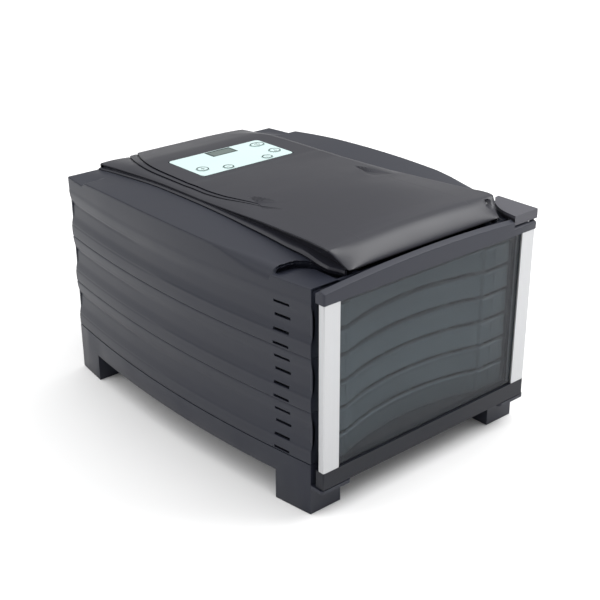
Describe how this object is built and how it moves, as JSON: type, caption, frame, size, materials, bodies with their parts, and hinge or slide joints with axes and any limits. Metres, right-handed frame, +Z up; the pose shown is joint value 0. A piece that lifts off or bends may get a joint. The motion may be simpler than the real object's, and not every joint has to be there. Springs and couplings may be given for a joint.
{
  "type": "food dehydrator",
  "caption": "Front-loading cabinet food dehydrator: hinged glass door, sliding trays, rear fan and heater, rippled side panels, raised hood with a control panel.",
  "frame": {"origin": "on the standing surface, under the middle of the object's bounding box", "axes": "+Z up, +X to the right as seen from the door, +Y from the door towards the rear"},
  "size_m": [0.3384, 0.447, 0.2781],
  "materials": {
    "charcoal_casing": "fine moulded texture",
    "hood": "satin moulded",
    "door_bar": "satin moulded",
    "aluminium_strip": "brushed anodised",
    "tinted_glass": "smoky tint",
    "rubber": "matte",
    "tray": "smoky translucent",
    "tray_mesh": "woven sheet",
    "liner": "moulded",
    "panel": "printed overlay",
    "display": "grey-green display",
    "key": "domed overlay",
    "circuit_board": "solder mask",
    "steel": "zinc plated",
    "magnet": "moulded holder",
    "fan_plastic": "moulded",
    "motor": "lacquered laminations",
    "sheet_metal": "galvanised",
    "heater": "heat-darkened",
    "terminal": "ceramic-like",
    "inlet_plastic": "moulded"
  },
  "bodies": {
    "cabinet": {"base": "charcoal_casing", "foot_pads": "rubber", "side_panel_right_lower": "charcoal_casing", "side_panel_left_lower": "charcoal_casing", "side_panel_right_middle": "charcoal_casing", "side_panel_left_middle": "charcoal_casing", "top_casing": "charcoal_casing", "rear_panel": "charcoal_casing", "rear_screws": "steel", "hood": "hood", "control_panel": "panel", "display": "display", "control_board": "circuit_board", "power_board": "circuit_board", "hinge_cap": "hood", "hinge_pin_upper": "steel", "hinge_pin_lower": "steel", "catch_magnet": "magnet", "liner_right": "liner", "liner_left": "liner", "liner_floor": "liner", "liner_ceiling": "liner", "rear_baffle": "liner", "fan_motor": "motor", "fan_shroud": "sheet_metal", "motor_bracket": "sheet_metal", "heater_element": "heater", "heater_terminals": "terminal", "thermal_cutout": "terminal", "mains_inlet": "inlet_plastic"},
    "door": {"door_glass": "tinted_glass", "door_top_bar": "door_bar", "door_bottom_bar": "door_bar", "door_strip_left": "aluminium_strip", "door_strip_right": "aluminium_strip", "catch_plate": "steel"},
    "fan": {"fan_impeller": "fan_plastic", "fan_shaft": "steel"},
    "tray_1": {"tray_1": "tray", "tray_mesh_1": "tray_mesh"},
    "tray_2": {"tray_2": "tray", "tray_mesh_2": "tray_mesh"},
    "tray_3": {"tray_3": "tray", "tray_mesh_3": "tray_mesh"},
    "tray_4": {"tray_4": "tray", "tray_mesh_4": "tray_mesh"},
    "tray_5": {"tray_5": "tray", "tray_mesh_5": "tray_mesh"},
    "tray_6": {"tray_6": "tray", "tray_mesh_6": "tray_mesh"},
    "key_power": {"key_power": "key"},
    "key_temperature": {"key_temperature": "key"},
    "key_time": {"key_time": "key"},
    "key_minus": {"key_minus": "key"},
    "key_fan": {"key_fan": "key"}
  },
  "joints": [
    {"name": "door_hinge", "type": "hinge", "parent": "cabinet", "child": "door", "pos_m": [0.143, -0.2175, 0.14], "axis": [0, 0, 1], "range_deg": [0, 170]},
    {"name": "fan_spin", "type": "hinge", "parent": "cabinet", "child": "fan", "pos_m": [0, 0.1565, 0.134], "axis": [0, 1, 0], "continuous": true},
    {"name": "tray_1_slide", "type": "slide", "parent": "cabinet", "child": "tray_1", "axis": [0, -1, 0], "range_m": [0, 0.008]},
    {"name": "tray_2_slide", "type": "slide", "parent": "cabinet", "child": "tray_2", "axis": [0, -1, 0], "range_m": [0, 0.008]},
    {"name": "tray_3_slide", "type": "slide", "parent": "cabinet", "child": "tray_3", "axis": [0, -1, 0], "range_m": [0, 0.008]},
    {"name": "tray_4_slide", "type": "slide", "parent": "cabinet", "child": "tray_4", "axis": [0, -1, 0], "range_m": [0, 0.008]},
    {"name": "tray_5_slide", "type": "slide", "parent": "cabinet", "child": "tray_5", "axis": [0, -1, 0], "range_m": [0, 0.008]},
    {"name": "tray_6_slide", "type": "slide", "parent": "cabinet", "child": "tray_6", "axis": [0, -1, 0], "range_m": [0, 0.008]},
    {"name": "key_power_press", "type": "slide", "parent": "cabinet", "child": "key_power", "axis": [0, 0, -1], "range_m": [0, 0.0005], "stiffness_N_per_m": 800},
    {"name": "key_temperature_press", "type": "slide", "parent": "cabinet", "child": "key_temperature", "axis": [0, 0, -1], "range_m": [0, 0.0005], "stiffness_N_per_m": 800},
    {"name": "key_time_press", "type": "slide", "parent": "cabinet", "child": "key_time", "axis": [0, 0, -1], "range_m": [0, 0.0005], "stiffness_N_per_m": 800},
    {"name": "key_minus_press", "type": "slide", "parent": "cabinet", "child": "key_minus", "axis": [0, 0, -1], "range_m": [0, 0.0005], "stiffness_N_per_m": 800},
    {"name": "key_fan_press", "type": "slide", "parent": "cabinet", "child": "key_fan", "axis": [0, 0, -1], "range_m": [0, 0.0005], "stiffness_N_per_m": 800}
  ]
}
